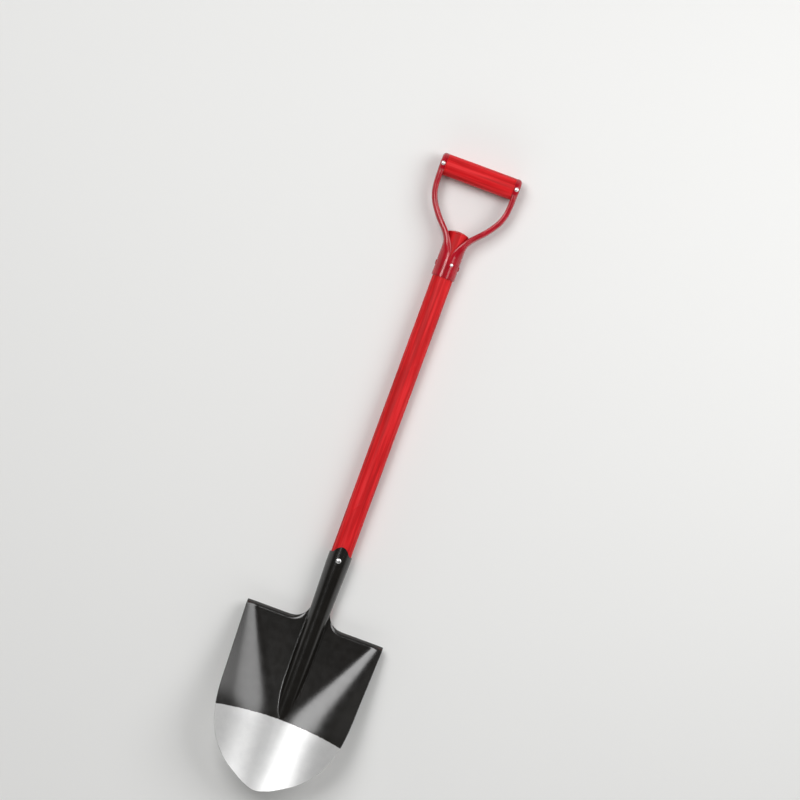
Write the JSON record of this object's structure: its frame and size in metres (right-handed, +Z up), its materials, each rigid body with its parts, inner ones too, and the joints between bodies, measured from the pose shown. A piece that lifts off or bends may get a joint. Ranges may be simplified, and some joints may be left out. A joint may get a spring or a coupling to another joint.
{
  "type": "round point shovel",
  "caption": "Round point digging shovel with a dished pressed-steel blade, a film-covered wooden shaft and a D-shaped steel yoke with a cross grip.",
  "frame": {"origin": "on the floor under the middle of the tool, which lies on its back with the scoop facing up", "axes": "+Y along the shaft from the blade's tip to the grip, +Z up, the way the scoop faces, +X across the blade"},
  "size_m": [0.225, 1.033, 0.0742],
  "materials": {
    "blade_steel": "glossy black enamel on the socket and upper pan, bare ground steel on the tip",
    "red_film": "satin red plastic film shrunk over wood, faintly wrinkled",
    "yoke_enamel": "glossy crimson enamel on pressed steel",
    "rivet_steel": "bright zinc-plated steel",
    "wood": "bare straight-grained ash"
  },
  "bodies": {
    "root": {"blade": "blade_steel", "socket_rivet": "rivet_steel", "socket_rivet_washer": "rivet_steel", "shaft_core": "wood", "shaft_sleeve": "red_film", "yoke_left": "yoke_enamel", "yoke_right": "yoke_enamel", "ferrule_rivet": "yoke_enamel", "ferrule_nail": "rivet_steel", "grip_core": "wood", "grip_sleeve": "red_film", "grip_rivet_left": "rivet_steel", "grip_rivet_right": "rivet_steel"}
  },
  "joints": []
}
